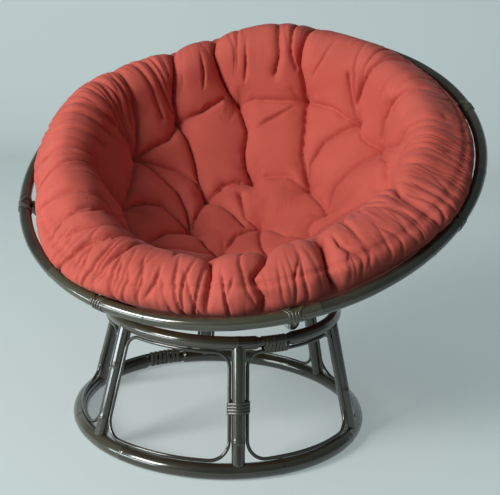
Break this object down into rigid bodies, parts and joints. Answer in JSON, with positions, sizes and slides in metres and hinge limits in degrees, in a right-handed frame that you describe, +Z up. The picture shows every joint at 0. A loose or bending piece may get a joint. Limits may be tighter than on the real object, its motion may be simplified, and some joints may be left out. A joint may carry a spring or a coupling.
{
  "type": "papasan chair",
  "caption": "Round rattan bowl seat with a thick tufted round cushion, resting tilted forward in a separate low ring stand of splayed posts and thin lining hoops; joints bound with cane.",
  "frame": {"origin": "on the floor, under the centre of the rim, which is the centre of the underside of the overall box", "axes": "+Z up, -Y the front that the bowl is tilted toward, +X to the right of someone who looks along +Y"},
  "size_m": [1.0884, 0.9553, 0.8878],
  "materials": {
    "lacquered_rattan": "gloss",
    "cane_strip": "satin",
    "screw_steel": "satin",
    "cushion_cotton": "matte"
  },
  "bodies": {
    "stand": {"floor_ring": "lacquered_rattan", "top_ring": "lacquered_rattan", "post_1": "lacquered_rattan", "post_2": "lacquered_rattan", "post_3": "lacquered_rattan", "post_4": "lacquered_rattan", "post_5": "lacquered_rattan", "post_6": "lacquered_rattan", "bay_hoop_1": "lacquered_rattan", "bay_hoop_2": "lacquered_rattan", "bay_hoop_3": "lacquered_rattan", "bay_hoop_4": "lacquered_rattan", "bay_hoop_5": "lacquered_rattan", "bay_hoop_6": "lacquered_rattan", "post_screw_top_1": "screw_steel", "post_screw_top_2": "screw_steel", "post_screw_top_3": "screw_steel", "post_screw_top_4": "screw_steel", "post_screw_top_5": "screw_steel", "post_screw_top_6": "screw_steel", "post_screw_floor_1": "screw_steel", "post_screw_floor_2": "screw_steel", "post_screw_floor_3": "screw_steel", "post_screw_floor_4": "screw_steel", "post_screw_floor_5": "screw_steel", "post_screw_floor_6": "screw_steel", "post_binding_front": "cane_strip", "post_binding_back": "cane_strip", "top_ring_binding": "cane_strip", "floor_ring_binding": "cane_strip"},
    "bowl_frame": {"rim": "lacquered_rattan", "lower_ring": "lacquered_rattan", "rib_1": "lacquered_rattan", "rib_2": "lacquered_rattan", "rib_3": "lacquered_rattan", "rib_4": "lacquered_rattan", "rib_5": "lacquered_rattan", "rib_6": "lacquered_rattan", "rib_7": "lacquered_rattan", "rib_8": "lacquered_rattan", "rim_binding_1": "cane_strip", "rim_binding_2": "cane_strip", "rim_binding_3": "cane_strip", "rim_binding_4": "cane_strip", "rim_binding_5": "cane_strip", "rim_binding_6": "cane_strip", "rim_binding_7": "cane_strip", "rim_binding_8": "cane_strip"},
    "cushion": {"cushion": "cushion_cotton"}
  },
  "joints": [
    {"name": "bowl_tilt", "type": "hinge", "parent": "stand", "child": "bowl_frame", "pos_m": [0, -0.12302, 0.81654], "axis": [1, 0, 0], "range_deg": [-29.15, 6.5]},
    {"name": "cushion_lift", "type": "slide", "parent": "bowl_frame", "child": "cushion", "axis": [0, -0.4871, 0.8733], "range_m": [0, 0.36]}
  ]
}
